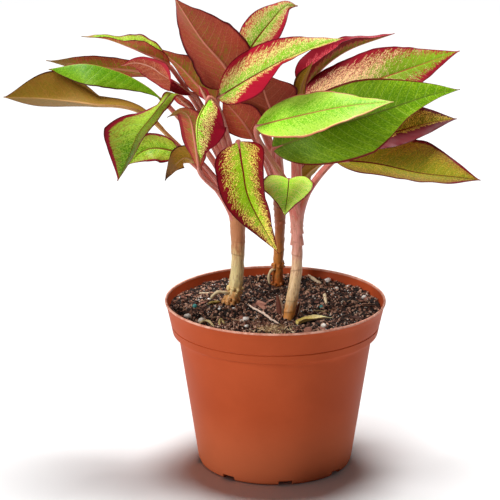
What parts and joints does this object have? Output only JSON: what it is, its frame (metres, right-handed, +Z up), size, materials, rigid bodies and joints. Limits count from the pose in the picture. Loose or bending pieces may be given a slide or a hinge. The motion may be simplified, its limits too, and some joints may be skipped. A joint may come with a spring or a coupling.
{
  "type": "potted chinese evergreen",
  "caption": "Potted chinese evergreen: red-edged variegated leaves on arching stalks from bare upright canes, standing in potting mix in a tapered plastic nursery pot.",
  "frame": {"origin": "centre of the pot's flat underside, where it rests", "axes": "+Z up, -Y towards the side seen in the picture, +X to the right in it"},
  "size_m": [0.3282, 0.1838, 0.3394],
  "materials": {
    "pot": "satin moulded plastic",
    "potting_mix": "crumbly peat and bark",
    "cane": "smooth, ringed by leaf scars",
    "leaf_green": "satin, green with a crimson edge",
    "leaf_crimson": "satin, crimson and pink",
    "leaf_underside": "dull brown-green underside",
    "dry_bract": "dry and papery",
    "dry_root": "dry, pale"
  },
  "bodies": {
    "root": {"pot": "pot", "soil": "potting_mix", "stem_left": "cane", "stem_middle": "cane", "stem_right": "cane", "leaf_left_reaching": "leaf_underside", "leaf_left_green": "leaf_green", "leaf_left_brown": "leaf_underside", "leaf_left_arching": "leaf_green", "leaf_left_small": "leaf_crimson", "leaf_left_drooping": "leaf_green", "leaf_left_shoot": "leaf_crimson", "leaf_left_speckled": "leaf_green", "leaf_left_curled": "leaf_underside", "leaf_front_inner": "leaf_green", "leaf_front_dry_tip": "leaf_underside", "leaf_top_tall": "leaf_underside", "leaf_top_broad": "leaf_underside", "leaf_top_back": "leaf_green", "leaf_centre_upper": "leaf_green", "leaf_right_edge_on": "leaf_crimson", "leaf_right_pink": "leaf_crimson", "leaf_right_large": "leaf_green", "leaf_right_lime": "leaf_green", "leaf_right_dark": "leaf_green", "leaf_right_low": "leaf_green", "leaf_front_hanging": "leaf_green", "leaf_front_heart": "leaf_green", "leaf_centre_under": "leaf_underside", "leaf_centre_brown": "leaf_underside", "leaf_centre_strip": "leaf_underside", "leaf_right_small": "leaf_underside", "leaf_back_right": "leaf_green", "leaf_back_left": "leaf_green", "leaf_back_top": "leaf_green", "leaf_back_low": "leaf_green", "dry_bract": "dry_bract", "dry_root": "dry_root"}
  },
  "joints": []
}
